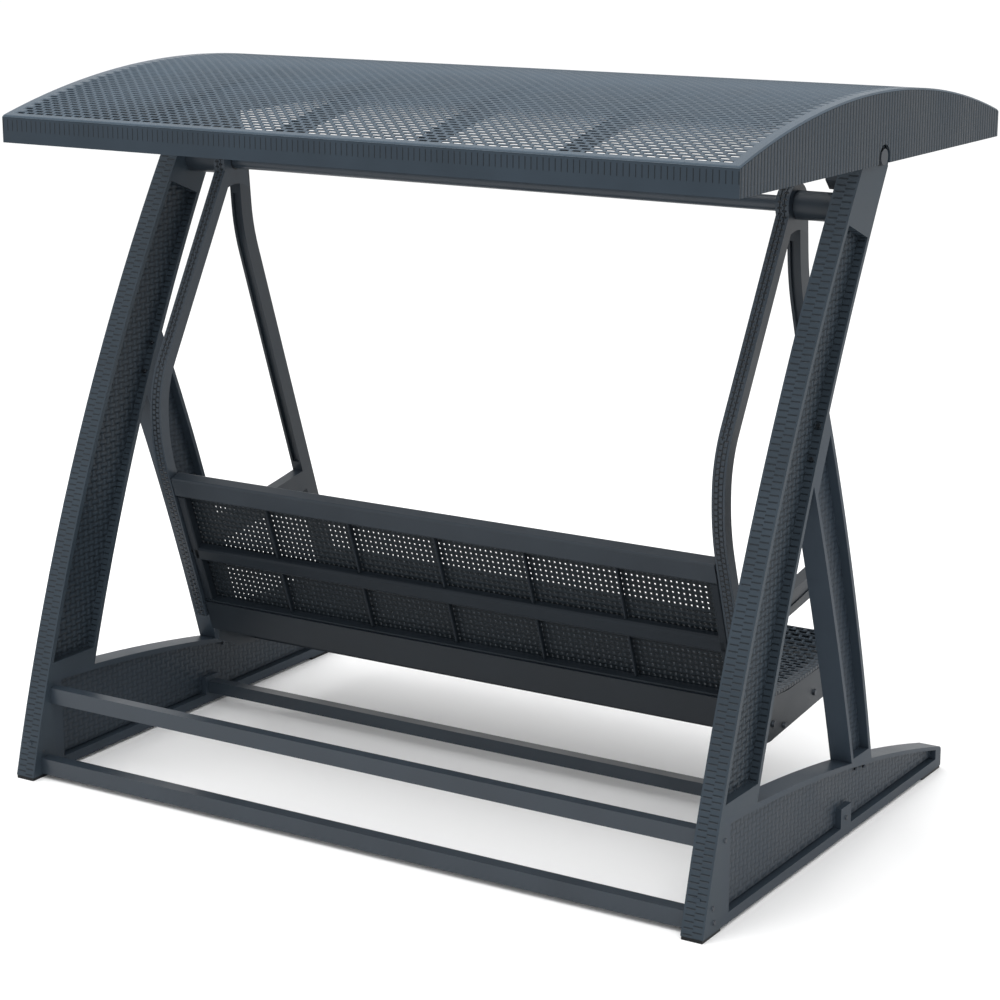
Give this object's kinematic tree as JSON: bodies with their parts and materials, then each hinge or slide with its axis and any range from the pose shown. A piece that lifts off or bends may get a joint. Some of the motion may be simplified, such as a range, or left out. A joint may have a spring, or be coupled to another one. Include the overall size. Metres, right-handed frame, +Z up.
{
  "type": "porch swing",
  "caption": "Porch swing in dark grey woven-look resin, with a bench hung from an axle by curved arms and an arched perforated canopy.",
  "frame": {"origin": "centre of the bounding box on the ground", "axes": "+Z up; -Y the way the seat faces; +X to the right seen from the front"},
  "size_m": [1.96, 1.455, 1.7418],
  "materials": {
    "resin": "matt, woven texture",
    "painted_metal": "satin powder coat",
    "black_plastic": "matt",
    "dark_steel": "blackened"
  },
  "bodies": {
    "frame": {"rear_leg_left": "resin", "rear_leg_right": "resin", "front_leg_left": "resin", "front_leg_right": "resin", "foot_beam_left": "resin", "foot_beam_right": "resin", "foot_pads": "black_plastic", "rear_low_crossbar": "painted_metal", "rear_high_crossbar": "painted_metal", "middle_crossbar": "painted_metal", "crossbar_plugs": "black_plastic", "crossbar_bolts": "dark_steel", "foot_joint_bolts": "dark_steel", "leg_joint_screws": "dark_steel", "axle_tube": "painted_metal", "axle_sleeve_left": "resin", "axle_sleeve_right": "resin", "pivot_washers": "black_plastic", "canopy_pivot_bolts": "dark_steel", "pivot_nuts": "dark_steel"},
    "bench": {"rear_arm_left": "resin", "rear_arm_right": "resin", "front_arm_left": "resin", "front_arm_right": "resin", "armrest_left": "resin", "armrest_right": "resin", "hub_bushes": "black_plastic", "seat_pan": "resin", "seat_side_rail_left": "resin", "seat_side_rail_right": "resin", "seat_rear_rail": "painted_metal", "seat_front_rail": "painted_metal", "seat_rear_bearer": "painted_metal", "seat_front_bearer": "painted_metal", "backrest_panel": "resin", "backrest_top_rail": "resin", "arm_spacers": "dark_steel", "arm_bolts": "dark_steel", "side_rail_bolts": "dark_steel"},
    "canopy": {"canopy_roof": "resin", "canopy_rear_rim": "resin", "canopy_front_rim": "resin", "canopy_end_left": "resin", "canopy_end_right": "resin", "canopy_rib_1": "resin", "canopy_rib_2": "resin", "canopy_rib_3": "resin", "canopy_rib_4": "resin", "canopy_bracket_left": "resin", "canopy_bracket_right": "resin", "canopy_screws": "dark_steel"}
  },
  "joints": [
    {"name": "swing", "type": "hinge", "parent": "frame", "child": "bench", "pos_m": [0, 0.0225, 1.485], "axis": [1, 0, 0], "range_deg": [-25, 25]},
    {"name": "canopy_tilt", "type": "hinge", "parent": "frame", "child": "canopy", "pos_m": [0, -0.0525, 1.595], "axis": [1, 0, 0], "range_deg": [-15, 15]}
  ]
}
